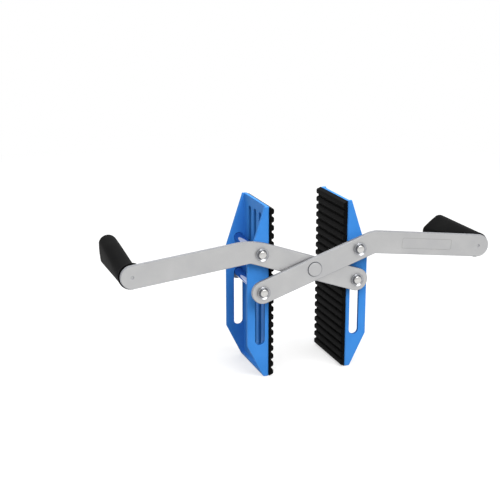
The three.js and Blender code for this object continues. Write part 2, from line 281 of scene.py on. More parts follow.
def zinc_plate():
    """Bright zinc plate on laser-cut steel, tumbled before plating: an even satin grey with
    fine rolling lines along the bar, half a millimetre apart, and faint clouds of passivation."""
    zinc = new_material("satin_zinc_plate")
    where = add(zinc, "ShaderNodeTexCoord").outputs["Object"]
    along = add(zinc, "ShaderNodeMapping", {"Scale": (0.04, 1.0, 1.0)}, {"Vector": where})
    rolling = add(zinc, "ShaderNodeTexNoise", {"Scale": per_metre(0.5), "Detail": 3.0},
                  {"Vector": along.outputs["Vector"]})
    grain = add(zinc, "ShaderNodeTexNoise", {"Scale": per_metre(0.35), "Detail": 2.0}, {"Vector": where})
    cloud = add(zinc, "ShaderNodeTexNoise", {"Scale": per_metre(28), "Detail": 4.0}, {"Vector": where})
    shade = add(zinc, "ShaderNodeValToRGB",
                {"stops": [(0.3, "#AFAFB0"), (0.55, "#B4B4B4"), (0.8, "#BABABA")]},
                {"Fac": cloud.outputs["Fac"]})
    lines = add(zinc, "ShaderNodeBump", {"Strength": 0.15, "Distance": 0.02 * MM},
                {"Height": rolling.outputs["Fac"]})
    skin = add(zinc, "ShaderNodeBump", {"Strength": 0.2, "Distance": 0.02 * MM},
               {"Height": grain.outputs["Fac"], "Normal": lines.outputs["Normal"]})
    satin = add(zinc, "ShaderNodeMapRange", {"To Min": 0.4, "To Max": 0.52}, {"Value": cloud.outputs["Fac"]})
    shader = add(zinc, "ShaderNodeBsdfPrincipled", {"Metallic": 1.0},
                 {"Base Color": shade.outputs["Color"], "Roughness": satin.outputs["Result"],
                  "Normal": skin.outputs["Normal"]})
    add(zinc, "ShaderNodeOutputMaterial", links={"Surface": shader.outputs["BSDF"]})
    return zinc


def zinc_shade_finish():
    """The same plate, painted duller and greyer as shade, over the laser's fine drag lines:
    it keeps the rounded cut edges from a bright highlight and darkens the pivot's sides and the washers.
    """
    edge = new_material("zinc_painted_shade")
    where = add(edge, "ShaderNodeTexCoord").outputs["Object"]
    rub = add(edge, "ShaderNodeTexNoise", {"Scale": per_metre(1.5), "Detail": 3.0}, {"Vector": where})
    shade = add(edge, "ShaderNodeValToRGB", {"stops": [(0.3, "#9A9B9E"), (0.7, "#A6A7AA")]},
                {"Fac": rub.outputs["Fac"]})
    skin = add(edge, "ShaderNodeBump", {"Strength": 0.15, "Distance": 0.03 * MM},
               {"Height": rub.outputs["Fac"]})
    gloss = add(edge, "ShaderNodeMapRange", {"To Min": 0.55, "To Max": 0.7}, {"Value": rub.outputs["Fac"]})
    shader = add(edge, "ShaderNodeBsdfPrincipled", {"Metallic": 1.0},
                 {"Base Color": shade.outputs["Color"], "Roughness": gloss.outputs["Result"],
                  "Normal": skin.outputs["Normal"]})
    add(edge, "ShaderNodeOutputMaterial", links={"Surface": shader.outputs["BSDF"]})
    return edge


def turned_steel():
    """Turned and polished bright steel: mirror-like, with the lathe's fine circles about the
    piece's own axis. They are drawn 0.6 mm apart, coarser than the real 0.1 mm, so that they show."""
    steel = new_material("polished_turned_steel")
    where = add(steel, "ShaderNodeTexCoord").outputs["Object"]
    circles = add(steel, "ShaderNodeTexWave", {
        "wave_type": 'RINGS', "rings_direction": 'Y', "Scale": rings_per_metre(0.6),
        "Distortion": 0.4, "Detail": 1.0}, {"Vector": where})
    haze = add(steel, "ShaderNodeTexNoise", {"Scale": per_metre(4), "Detail": 3.0}, {"Vector": where})
    shade = add(steel, "ShaderNodeValToRGB", {"stops": [(0.3, "#BFBEBC"), (0.7, "#CBCAC8")]},
                {"Fac": haze.outputs["Fac"]})
    tracks = add(steel, "ShaderNodeBump", {"Strength": 0.08, "Distance": 0.02 * MM},
                 {"Height": circles.outputs["Fac"]})
    gloss = add(steel, "ShaderNodeMapRange", {"To Min": 0.13, "To Max": 0.24}, {"Value": haze.outputs["Fac"]})
    shader = add(steel, "ShaderNodeBsdfPrincipled", {"Metallic": 1.0},
                 {"Base Color": shade.outputs["Color"], "Roughness": gloss.outputs["Result"],
                  "Normal": tracks.outputs["Normal"]})
    add(steel, "ShaderNodeOutputMaterial", links={"Surface": shader.outputs["BSDF"]})
    return steel


def drawn_steel():
    """Drawn steel bar with bright zinc: a bluish mirror that shows the channel round it. Its blue
    tint is partly a clear-blue passivate and partly painted reflection of the blue channel, with
    faint drawing lines along the pin, half a millimetre apart."""
    bar = new_material("passivate_and_painted_reflection_bar")
    where = add(bar, "ShaderNodeTexCoord").outputs["Object"]
    along = add(bar, "ShaderNodeMapping", {"Scale": (1.0, 0.03, 1.0)}, {"Vector": where})
    lines = add(bar, "ShaderNodeTexNoise", {"Scale": per_metre(0.5), "Detail": 2.0},
                {"Vector": along.outputs["Vector"]})
    shade = add(bar, "ShaderNodeValToRGB", {"stops": [(0.3, "#919DC2"), (0.7, "#9CA8CC")]},
                {"Fac": lines.outputs["Fac"]})
    skin = add(bar, "ShaderNodeBump", {"Strength": 0.06, "Distance": 0.02 * MM},
               {"Height": lines.outputs["Fac"]})
    gloss = add(bar, "ShaderNodeMapRange", {"To Min": 0.06, "To Max": 0.12}, {"Value": lines.outputs["Fac"]})
    shader = add(bar, "ShaderNodeBsdfPrincipled", {"Metallic": 1.0},
                 {"Base Color": shade.outputs["Color"], "Roughness": gloss.outputs["Result"],
                  "Normal": skin.outputs["Normal"]})
    add(bar, "ShaderNodeOutputMaterial", links={"Surface": shader.outputs["BSDF"]})
    return bar


def dish_shade_finish():
    """Smooth steel round the button of each pin's head, painted darker: a painted dark reflection
    that rings the button, with faint circles 0.4 mm apart."""
    dish = new_material("pin_dish_painted_shade")
    where = add(dish, "ShaderNodeTexCoord").outputs["Object"]
    circles = add(dish, "ShaderNodeTexWave", {
        "wave_type": 'RINGS', "rings_direction": 'Y', "Scale": rings_per_metre(0.4),
        "Distortion": 0.8, "Detail": 1.0}, {"Vector": where})
    film = add(dish, "ShaderNodeTexNoise", {"Scale": per_metre(3), "Detail": 3.0}, {"Vector": where})
    shade = add(dish, "ShaderNodeValToRGB", {"stops": [(0.3, "#98999C"), (0.7, "#A5A6A9")]},
                {"Fac": film.outputs["Fac"]})
    skin = add(dish, "ShaderNodeBump", {"Strength": 0.06, "Distance": 0.02 * MM},
               {"Height": circles.outputs["Fac"]})
    gloss = add(dish, "ShaderNodeMapRange", {"To Min": 0.2, "To Max": 0.3}, {"Value": film.outputs["Fac"]})
    shader = add(dish, "ShaderNodeBsdfPrincipled", {"Metallic": 1.0},
                 {"Base Color": shade.outputs["Color"], "Roughness": gloss.outputs["Result"],
                  "Normal": skin.outputs["Normal"]})
    add(dish, "ShaderNodeOutputMaterial", links={"Surface": shader.outputs["BSDF"]})
    return dish


def moulded_rubber():
    """Moulded natural rubber, filled with carbon black: soft black, matt, with the fine pebble
    of a blasted mould, drawn at 0.5 mm, and patches where handling has polished it a little."""
    rubber = new_material("moulded_black_rubber")
    where = add(rubber, "ShaderNodeTexCoord").outputs["Object"]
    pebble = add(rubber, "ShaderNodeTexNoise", {"Scale": per_metre(0.5), "Detail": 2.0}, {"Vector": where})
    bloom = add(rubber, "ShaderNodeTexNoise", {"Scale": per_metre(22), "Detail": 4.0}, {"Vector": where})
    shade = add(rubber, "ShaderNodeValToRGB",
                {"stops": [(0.3, "#0A0A0B"), (0.55, "#0F0F0F"), (0.8, "#151515")]},
                {"Fac": bloom.outputs["Fac"]})
    skin = add(rubber, "ShaderNodeBump", {"Strength": 0.4, "Distance": 0.06 * MM},
               {"Height": pebble.outputs["Fac"]})
    worn = add(rubber, "ShaderNodeMapRange", {"To Min": 0.48, "To Max": 0.64},
               {"Value": bloom.outputs["Fac"]})
    shader = add(rubber, "ShaderNodeBsdfPrincipled",
                 {"Metallic": 0.0, "IOR": 1.5, "Specular IOR Level": 0.02},
                 {"Base Color": shade.outputs["Color"], "Roughness": worn.outputs["Result"],
                  "Normal": skin.outputs["Normal"]})
    add(rubber, "ShaderNodeOutputMaterial", links={"Surface": shader.outputs["BSDF"]})
    return rubber


def plain_nylon():
    """Natural nylon, punched from sheet: milky and waxy, with a faint grain."""
    nylon = new_material("natural_nylon")
    where = add(nylon, "ShaderNodeTexCoord").outputs["Object"]
    grain = add(nylon, "ShaderNodeTexNoise", {"Scale": per_metre(1.2), "Detail": 2.0}, {"Vector": where})
    shade = add(nylon, "ShaderNodeValToRGB", {"stops": [(0.3, "#D6D3C8"), (0.7, "#E0DDD3")]},
                {"Fac": grain.outputs["Fac"]})
    skin = add(nylon, "ShaderNodeBump", {"Strength": 0.2, "Distance": 0.03 * MM},
               {"Height": grain.outputs["Fac"]})
    wax = add(nylon, "ShaderNodeMapRange", {"To Min": 0.45, "To Max": 0.6}, {"Value": grain.outputs["Fac"]})
    shader = add(nylon, "ShaderNodeBsdfPrincipled",
                 {"Metallic": 0.0, "IOR": 1.53, "Subsurface Weight": 0.1},
                 {"Base Color": shade.outputs["Color"], "Roughness": wax.outputs["Result"],
                  "Normal": skin.outputs["Normal"]})
    add(nylon, "ShaderNodeOutputMaterial", links={"Surface": shader.outputs["BSDF"]})
    return nylon


def etched_line():
    """A line etched by laser: matt grey oxide, a little uneven."""
    line = new_material("laser_etched_line")
    where = add(line, "ShaderNodeTexCoord").outputs["Object"]
    burn = add(line, "ShaderNodeTexNoise", {"Scale": per_metre(0.8), "Detail": 2.0}, {"Vector": where})
    shade = add(line, "ShaderNodeValToRGB", {"stops": [(0.3, "#8C8C8B"), (0.7, "#A2A2A1")]},
                {"Fac": burn.outputs["Fac"]})
    matt = add(line, "ShaderNodeMapRange", {"To Min": 0.55, "To Max": 0.7}, {"Value": burn.outputs["Fac"]})
    shader = add(line, "ShaderNodeBsdfPrincipled", {"Metallic": 0.4},
                 {"Base Color": shade.outputs["Color"], "Roughness": matt.outputs["Result"]})
    add(line, "ShaderNodeOutputMaterial", links={"Surface": shader.outputs["BSDF"]})
    return line


blue_paint = powder_coat()
# A deeper blue for the walls at the pins, as painted shade.
slot_wall_shade = slot_wall_shade_coat()
satin_zinc = zinc_plate()
# A darker zinc, as painted shade.
zinc_shade_paint = zinc_shade_finish()
bright_steel = turned_steel()
# The shank's blue tint is partly passivate and partly painted reflection of the blue channel.
shank_steel = drawn_steel()
# A darker steel, as a painted dark reflection in the pins' heads.
dish_shade_paint = dish_shade_finish()
black_rubber = moulded_rubber()
washer_nylon = plain_nylon()
etching = etched_line()


# Outlines

def arc(across, up, radius, start, end, steps=ARC_STEPS):
    """Points along an arc between two angles in degrees."""
    angles = [math.radians(start + (end - start) * i / steps) for i in range(steps + 1)]
    return [(across + radius * math.cos(a), up + radius * math.sin(a)) for a in angles]


def round_hole(across, up, diameter):
    return arc(across, up, diameter / 2, 0, 360, HOLE_STEPS)[:-1]


def upright_slot(across, low, high, diameter):
    """A slot with round ends, between the centres of its two ends."""
    return arc(across, high, diameter / 2, 0, 180) + arc(across, low, diameter / 2, 180, 360)


# Meshes

def cut_plate(outline, holes, thickness, rounding):
    """A flat plate with rounded edges, cut to an outline. Its third coordinate runs from 0 to
    the thickness."""
    curve = bpy.data.curves.new("cut", 'CURVE')
    curve.dimensions = '2D'
    curve.fill_mode = 'BOTH'
    curve.extrude = thickness / 2 - rounding
    curve.bevel_depth = rounding
    curve.bevel_resolution = 1
    curve.offset = -rounding
    for loop in [outline, *holes]:
        spline = curve.splines.new('POLY')
        spline.points.add(len(loop) - 1)
        for point, (across, up) in zip(spline.points, loop):
            point.co = (across, up, 0, 1)
        spline.use_cyclic_u = True
    blank = bpy.data.objects.new("cut", curve)
    flat = bpy.data.meshes.new_from_object(blank)
    shape = bmesh.new()
    shape.from_mesh(flat)
    bmesh.ops.translate(shape, verts=shape.verts, vec=(0, 0, thickness / 2))
    bmesh.ops.remove_doubles(shape, verts=shape.verts, dist=WELD)
    bpy.data.objects.remove(blank)
    bpy.data.curves.remove(curve)
    bpy.data.meshes.remove(flat)
    return shape


def turned(profile, steps=TURNED_STEPS):
    """A round piece about the depth axis, from [radius, depth] points that start and end on it
    or close on themselves."""
    shape = bmesh.new()
    rings = []
    for radius, depth in profile:
        if radius < TINY:
            rings.append([shape.verts.new((0, depth, 0))])
        else:
            rings.append([shape.verts.new((radius * math.cos(a), depth, radius * math.sin(a)))
                          for a in (math.tau * i / steps for i in range(steps))])
    pairs = list(zip(rings, rings[1:]))
    if profile[0][0] > TINY:
        pairs.append((rings[-1], rings[0]))
    for one, other in pairs:
        for i in range(steps):
            j = (i + 1) % steps
            corners = [one[i % len(one)], one[j % len(one)], other[j % len(other)], other[i % len(other)]]
            face = list(dict.fromkeys(corners))
            if len(face) > 2:
                shape.faces.new(face)
    return shape


def move(shape, place):
    """Moves every point of a shape with a function of its three coordinates."""
    for vertex in shape.verts:
        vertex.co = place(*vertex.co)
    return shape


def make_piece(name, shape, materials, body, nodes=(), axis=(0, 0), finish_of=None):
    """Makes an object of a shape in millimetres. axis is the place, in x and z, of a turned
    piece's own axis. finish_of tells the place in the list of the material of a face."""
    bmesh.ops.recalc_face_normals(shape, faces=shape.faces)
    if finish_of:
        for face in shape.faces:
            face.material_index = finish_of(face)
    bmesh.ops.scale(shape, verts=shape.verts, vec=(MM, MM, MM))
    mesh = bpy.data.meshes.new(name)
    shape.to_mesh(mesh)
    shape.free()
    mesh.shade_smooth()
    mesh.set_sharp_from_angle(angle=math.radians(SHARP_ANGLE))
    for material in materials:
        mesh.materials.append(material)
    piece = bpy.data.objects.new(name, mesh)
    piece.location = (axis[0] * MM, 0, axis[1] * MM)
    show(piece)
    evening = piece.modifiers.new("even_shading", 'WEIGHTED_NORMAL')
    evening.keep_sharp = True
    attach(piece, body)
    if nodes:
        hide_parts(*nodes)


# Arms

def handle_place():
    """The handle's axis on an arm whose inner stretch is level."""
    bend = math.radians(REST_ANGLE + DROOP_ANGLE)
    return BEND_REACH + HANDLE_REACH * math.cos(bend), -HANDLE_REACH * math.sin(bend)


def arm_outline(lower_reach, bend_radius):
    """The arm's outline with its inner stretch level and its handle to the right."""
    half = BAR_WIDTH / 2
    bend = REST_ANGLE + DROOP_ANGLE
    lean = math.tan(math.radians(bend) / 2)
    inner = BEND_REACH - (half + INNER_BEND_RADIUS) * lean
    outer = BEND_REACH + (half - bend_radius) * lean
    return (arc(inner, -half - INNER_BEND_RADIUS, INNER_BEND_RADIUS, 90, 90 - bend, SMALL_BEND_STEPS)
            + arc(*handle_place(), half, -90 - bend, 90 - bend, BAR_END_STEPS)
            + arc(outer, half - bend_radius, bend_radius, 90 - bend, 90, OUTER_BEND_STEPS)
            + arc(-lower_reach, 0, half, 90, 270, BAR_END_STEPS))


def tilted(side, face, height):
    """Places a shape that is drawn level on one arm, side +1 being the right one."""
    angle = math.radians(REST_ANGLE)
    return lambda across, up, deep: (
        side * (across * math.cos(angle) - up * math.sin(angle)),
        face + deep,
        height + across * math.sin(angle) + up * math.cos(angle))


def make_arm(name, side, upper_reach, lower_reach, bend_radius):
    low, high = box_mm(name)
    shape = cut_plate(arm_outline(lower_reach, bend_radius), [
        round_hole(0, 0, PIVOT_HEAD + 2 * CLEARANCE),
        round_hole(upper_reach, 0, PIN_BORE),
        round_hole(-lower_reach, 0, PIN_BORE),
        round_hole(*handle_place(), PILOT_HOLE - 2 * BAR_EDGE_ROUND),
    ], high.y - low.y, BAR_EDGE_ROUND)
    move(shape, tilted(side, low.y, axis_of("centre_pivot")[1]))

    # The cut edges take the darker zinc, painted shade against their bright highlight.
    def finish_of(face):
        faces_out = abs(face.normal.y) > 0.98
        return 0 if faces_out else 1
    make_piece(name + "_bar", shape, [satin_zinc, zinc_shade_paint], name, [name],
               finish_of=finish_of)


make_arm("left_arm", -1, LEFT_REACH, RIGHT_REACH, LEFT_BEND_RADIUS)
make_arm("right_arm", 1, RIGHT_REACH, LEFT_REACH, RIGHT_BEND_RADIUS)


# Jaws

def fold_stations(near, far):
    """The jaw's section as it is folded: places along the blank's outer skin, each with the
    outer and the inner skin's point in depth from the pad's plane and in y."""
    run = CHEEK_DEPTH - FOLD_OUTSIDE
    bent = FOLD_OUTSIDE * math.pi / 2
    inside = PLATE + FOLD_INSIDE
    stations = [(0, (CHEEK_DEPTH, near), (CHEEK_DEPTH, near + PLATE)),
                (CHEEK_DEPTH - FOLD_REACH, (FOLD_REACH, near), (FOLD_REACH, near + PLATE))]
    outer = arc(FOLD_OUTSIDE, near + FOLD_OUTSIDE, FOLD_OUTSIDE, -90, -180, SMALL_BEND_STEPS)
    inner = arc(inside, near + inside, FOLD_INSIDE, -90, -180, SMALL_BEND_STEPS)
    for i, (skin, lining) in enumerate(zip(outer, inner)):
        stations.append((run + bent * i / SMALL_BEND_STEPS, skin, lining))
    stations.append((run + bent + FOLD_REACH - FOLD_OUTSIDE,
                     (0, near + FOLD_REACH), (PLATE, near + FOLD_REACH)))
    whole = 2 * (run + bent) + far - near - 2 * FOLD_OUTSIDE

    def flipped(point):
        return point[0], near + far - point[1]
    return stations + [(whole - place, flipped(skin), flipped(lining))
                       for place, skin, lining in reversed(stations)]


def folded(shape, stations):
    """Folds a flat blank: first across is along its outer skin, second is z, third is depth
    into the plate."""
    for place, _, _ in stations[1:-1]:
        bmesh.ops.bisect_plane(shape, geom=[*shape.verts, *shape.edges, *shape.faces], dist=ON_FOLD,
                               plane_co=(place, 0, 0), plane_no=(1, 0, 0))

    def between(one, other, share):
        return [p + (q - p) * share for p, q in zip(one, other)]

    def bend(across, up, deep):
        passed = sum(place < across - TINY for place, _, _ in stations)
        pair = max(0, min(len(stations) - 2, passed - 1))
        (start, skin, lining), (end, next_skin, next_lining) = stations[pair:pair + 2]
        share = (across - start) / (end - start)
        depth, y = between(between(skin, next_skin, share), between(lining, next_lining, share), deep / PLATE)
        return depth, y, up
    return move(shape, bend)


def make_jaw(name, side, plane, upper, lower):
    """A jaw: plane is the place of its web's face along x, upper and lower its pins' heights."""
    low, high = box_mm(name)
    tall = high.z - low.z
    stations = fold_stations(low.y, high.y)
    whole = stations[-1][0]
    pin = CHEEK_DEPTH - PIN_SETBACK
    crown = CHEEK_DEPTH - CROWN_DEPTH
    toe = CHEEK_DEPTH - TOE_DEPTH
    slope = toe / TOE_HEIGHT
    corner = [(toe - TOE_CORNER * slope * (1 - t) ** 2 + TOE_CORNER * t * t, TOE_CORNER * (1 - t) ** 2)
              for t in (i / SMALL_BEND_STEPS for i in range(SMALL_BEND_STEPS + 1))]
    half = [(0, tall - CROWN_HEIGHT), (0, TOE_HEIGHT), *corner]
    mirrored = [(whole - across, up) for across, up in reversed(half)]
    outline = [*half, *mirrored, (whole - crown, tall), (crown, tall)]
    holes = []
    for place in (pin, whole - pin):
        holes.append(round_hole(place, upper, UPPER_HOLE))
        holes.append(upright_slot(place, TOE_HEIGHT + PIN_BORE / 2, lower, PIN_BORE))
    key_end = KEY_MARGIN + KEY_WIDTH / 2
    for i in (-1, 0, 1):
        holes.append(upright_slot(whole / 2 + i * KEY_PITCH, key_end, tall - key_end, KEY_WIDTH))
    blank = cut_plate(outline, holes, PLATE, JAW_EDGE_ROUND)
    blank.normal_update()
    # The walls of the holes and slots at the pins take the deeper blue, as painted shade.
    for face in blank.faces:
        spot = face.calc_center_median()
        aside = min(abs(spot.x - pin), abs(spot.x - whole + pin))
        at_pins = (aside < PIN_BORE / 2 + JAW_EDGE_ROUND
                   and TOE_HEIGHT - JAW_EDGE_ROUND < spot.y < upper + PIN_BORE)
        on_wall = abs(face.normal.z) < 0.7
        face.material_index = 1 if at_pins and on_wall else 0
    shape = folded(blank, stations)
    move(shape, lambda depth, y, up: (plane + side * depth, y, up))
    make_piece(name + "_channel", shape, [blue_paint, slot_wall_shade], name, [name])


def make_foot(name, side, plane):
    """The jaw's foot: the plate's lower end, folded inwards between the cheeks."""
    low, high = box_mm(name)
    front = TOE_DEPTH - FOOT_GAP
    root = PLATE - FOOT_ROOT
    inside = PLATE + FOLD_INSIDE
    section = [(root, 0), *((front - back, up) for back, up in FOOT_LIP)]
    section += arc(front - FOOT_ROUND, PLATE - FOOT_ROUND, FOOT_ROUND, 0, 90, SMALL_ROUND_STEPS)
    section += arc(inside, inside, FOLD_INSIDE, -90, -180, SMALL_BEND_STEPS)
    section += [(root, inside)]
    start = low.y + PLATE - FOOT_TONGUE
    shape = cut_plate(section, [], high.y - PLATE + FOOT_TONGUE - start, 0)
    move(shape, lambda depth, up, deep: (plane + side * depth, start + deep, up))
    make_piece(name + "_foot", shape, [blue_paint], name)


left_plane = box_mm("left_jaw")[1].x
right_plane = box_mm("right_jaw")[0].x
make_jaw("left_jaw", -1, left_plane, axis_of("left_upper_pin")[1], axis_of("left_lower_pin")[1])
make_jaw("right_jaw", 1, right_plane, axis_of("right_upper_pin")[1], axis_of("right_lower_pin")[1])
make_foot("left_jaw", -1, left_plane)
make_foot("right_jaw", 1, right_plane)


# Pads

def make_pad(name, side, plane, body):
    """A pad: a comb of level ribs with rolled shoulders, and its three keys."""
    low, high = box_mm(name)
    pitch = (high.z - low.z) / RIB_COUNT
    crest = pitch * RIB_CREST_SHARE / 2
    shoulder = pitch * RIB_FOOT_SHARE / 2 - crest
    rolled = [(RIB_HEIGHT * math.sin(a), shoulder * math.cos(a))
              for a in (math.pi / 2 * i / RIB_STEPS for i in range(RIB_STEPS + 1))]
    profile = [(0, low.z), (0, high.z)]
    for i in range(RIB_COUNT - 1, -1, -1):
        middle = low.z + (i + 0.5) * pitch
        profile += [(-PAD_BASE - out, middle + crest + over) for out, over in rolled]
        profile += [(-PAD_BASE - out, middle - crest - over) for out, over in reversed(rolled)]
    comb = cut_plate(profile, [], high.y - low.y, PAD_EDGE_ROUND)
    move(comb, lambda depth, up, deep: (plane + side * depth, low.y + deep, up))
    make_piece(name + "_comb", comb, [black_rubber], body, [name])

    width = KEY_WIDTH - 2 * CLEARANCE
    end = KEY_MARGIN + CLEARANCE + width / 2
    tall = box_mm(body)[1].z
    for i, label in ((-1, "near"), (0, "middle"), (1, "far")):
        y = (low.y + high.y) / 2 + i * KEY_PITCH
        key = cut_plate(upright_slot(y, end, tall - end, width), [], KEY_ROOT + PLATE - KEY_RECESS,
                        KEY_EDGE_ROUND)
        move(key, lambda across, up, deep: (plane + side * (deep - KEY_ROOT), across, up))
        make_piece(f"{name}_{label}_key", key, [black_rubber], body)


make_pad("left_pad", -1, left_plane, "left_jaw")
make_pad("right_pad", 1, right_plane, "right_jaw")


# Pins, sleeves, washers and pivot

def make_pin(name, body):
    """A cross pin, all turned: a low button in a dished head, the shank and the closed tail."""
    low, high = box_mm(name)
    top, end = low.y, high.y
    head, shank = (high.x - low.x) / 2, PIN_SHANK / 2
    face, tail = top + PIN_HEAD_HEIGHT, end - PIN_TAIL_HEIGHT
    lip = head - LIP_ROUND
    profile = [(BUTTON_RADIUS * math.sin(a), top + BUTTON_CROWN - BUTTON_CROWN * math.cos(a))
               for a in (math.radians(angle) for angle in range(0, 76, 15))]
    profile += [(BUTTON_RADIUS, top + BUTTON_EDGE_DEPTH), (DISH_RADIUS, top + DISH_DEPTH),
                (lip, top + LIP_DEPTH)]
    profile += [(lip + LIP_ROUND * math.sin(a), top + LIP_CENTRE_DEPTH - LIP_ROUND * math.cos(a))
                for a in (math.radians(angle) for angle in range(10, 91, 20))]
    profile += [(head, face), (shank, face), (shank, tail), (head, tail)]
    dome = PIN_TAIL_HEIGHT - PIN_TAIL_RIM
    profile += [(head * math.sin(a), tail + PIN_TAIL_RIM + dome * math.cos(a))
                for a in (math.pi / 2 * i / TAIL_STEPS for i in range(TAIL_STEPS, -1, -1))]

    # The dish round the button takes the darker steel, a painted dark reflection ring.
    def finish_of(facet):
        spot = facet.calc_center_median()
        on_shank = face < spot.y < tail
        on_button = math.hypot(spot.x, spot.z) < BUTTON_RADIUS - 0.1
        if on_shank:
            return 1
        return 2 if spot.y < face and not on_button else 0
    make_piece(name + "_turned", turned(profile), [bright_steel, shank_steel, dish_shade_paint], body,
               [name], axis=axis_of(name), finish_of=finish_of)


def make_ring(name, bore, body, material, chamfer=RING_CHAMFER):
    """A sleeve or washer with broken edges."""
    low, high = box_mm(name)
    inner, outer = bore / 2, (high.x - low.x) / 2
    near, far = low.y, high.y
    profile = [(inner + chamfer, near), (outer - chamfer, near), (outer, near + chamfer),
               (outer, far - chamfer), (outer - chamfer, far), (inner + chamfer, far),
               (inner, far - chamfer), (inner, near + chamfer)]
    make_piece(name + "_ring", turned(profile), [material], body, [name], axis=axis_of(name))


def make_pivot(name, body):
    """The centre pivot: a shank with a countersunk head in each arm, a little proud of it."""
    low, high = box_mm(name)
    head, shank = PIVOT_HEAD / 2, PIVOT_SHANK / 2
    near, far = low.y - PIVOT_PROUD, high.y + PIVOT_PROUD
    profile = [(0, near), (head - PIVOT_CHAMFER, near), (head, near + PIVOT_CHAMFER),
               (head, low.y + PIVOT_RIM), (shank, low.y + PIVOT_HEAD_DEPTH),
               (shank, high.y - PIVOT_HEAD_DEPTH), (head, high.y - PIVOT_RIM),
               (head, far - PIVOT_CHAMFER), (head - PIVOT_CHAMFER, far), (0, far)]

    # The pivot's sides take the darker zinc, painted shade for a dark ring round its head.
    def finish_of(face):
        faces_out = abs(face.normal.y) >= 0.9
        return 0 if faces_out else 1
    make_piece(name + "_turned", turned(profile), [satin_zinc, zinc_shade_paint], body, [name],
               axis=axis_of(name), finish_of=finish_of)


for place, body in (("left_upper", "left_arm"), ("right_lower", "left_arm"),
                    ("right_upper", "right_arm"), ("left_lower", "right_arm")):
    make_pin(place + "_pin", body)
    make_ring(place + "_spacer", PIN_BORE, body, satin_zinc)
    # The washers take the darker zinc, painted shade for the shadow of the cheeks.
    make_ring(place + "_washer", PIN_BORE, body, zinc_shade_paint)
make_ring("centre_washer", PIVOT_SHANK + 2 * CLEARANCE, "right_arm", washer_nylon, NYLON_CHAMFER)
make_pivot("centre_pivot", "left_arm")


# Handles

def make_grip(name, body, lean, spread, narrow, throat, shift):
    """A rubber handle: a rolled flange, a slim round throat and a swell to a flat-oval end. The
    oval's long way leans by an angle in degrees from level, its two round sides have the narrow
    radius and their centres stand apart by twice the spread. The throat's and the oval's middles
    lie off the rod's axis in x and z, for the palm."""
    low, high = box_mm(name)
    near, far = low.y, high.y
    flange_back = near + FLANGE_THICKNESS
    throat_start = flange_back + THROAT_FILLET
    shoulder = far - GRIP_END_ROUND
    bore_end = far - GRIP_END_WALL
    profile = [(0, bore_end), (ROD_BORE_RADIUS, bore_end), (ROD_BORE_RADIUS, near + ROD_BORE_CHAMFER),
               (ROD_BORE_RADIUS + ROD_BORE_CHAMFER, near)]
    profile += arc(FLANGE_RADIUS - FLANGE_NEAR_ROUND, near + FLANGE_NEAR_ROUND, FLANGE_NEAR_ROUND,
                   -90, 0, SMALL_ROUND_STEPS)
    flange_rim = FLANGE_RADIUS - FLANGE_FAR_ROUND
    profile += arc(flange_rim, flange_back - FLANGE_FAR_ROUND, FLANGE_FAR_ROUND, 0, 90, SMALL_BEND_STEPS)
    profile += [(flange_rim + (flange_rim - THROAT_RADIUS) * out, throat_start + THROAT_FILLET * along)
                for out, along in arc(0, 0, 1, -90, -180, GRIP_FILLET_STEPS)]
    profile += [(THROAT_RADIUS, throat_start + (shoulder - throat_start) * i / GRIP_LENGTH_STEPS)
                for i in range(1, GRIP_LENGTH_STEPS + 1)]
    profile += arc(THROAT_RADIUS - GRIP_END_ROUND, shoulder, GRIP_END_ROUND, 0, 90, GRIP_LENGTH_STEPS)[1:]
    profile += [(radius, far - depth) for radius, depth in GRIP_END_DISH]
    level, rise = math.cos(math.radians(lean)), math.sin(math.radians(lean))

    def swollen(x, y, z):
        reach = math.hypot(x, z)
        in_bore = reach < ROD_BORE_RADIUS + 0.1 and y < bore_end + 1
        if in_bore:
            return x, y, z
        begun = max(0, min(1, (y - flange_back) / THROAT_FILLET))
        part = max(0, min(1, (y - throat_start) / (shoulder - throat_start)))
        grown = part * (0.5 + part * (1.5 - part))
        slim = 1 + (narrow / THROAT_RADIUS - 1) * grown
        aside = (x * level + z * rise) / reach / OVAL_BLEND_SHARE if reach else 0
        side = max(-1, min(1, aside)) * min(1, reach / (THROAT_RADIUS - GRIP_END_ROUND))
        apart = spread * grown * side
        off = [begun * first * (1 - grown) + last * grown for first, last in zip(throat, shift)]
        return x * slim + apart * level + off[0], y, z * slim + apart * rise + off[1]
    make_piece(name + "_rubber", move(turned(profile, GRIP_STEPS), swollen), [black_rubber], body,
               [name], axis=axis_of(name))


make_grip("left_handle_grip", "left_arm", lean=93.7, spread=8.7, narrow=12.4,
          throat=(-2.3, -1.3), shift=(-3.1, 3.4))
make_grip("right_handle_grip", "right_arm", lean=38.7, spread=9.2, narrow=10.8,
          throat=(1.2, 2.6), shift=(-1.3, -2.4))
for rod in ("left_handle_rod", "right_handle_rod"):
    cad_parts[rod].data.materials.clear()
    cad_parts[rod].data.materials.append(satin_zinc)


# Etched frame

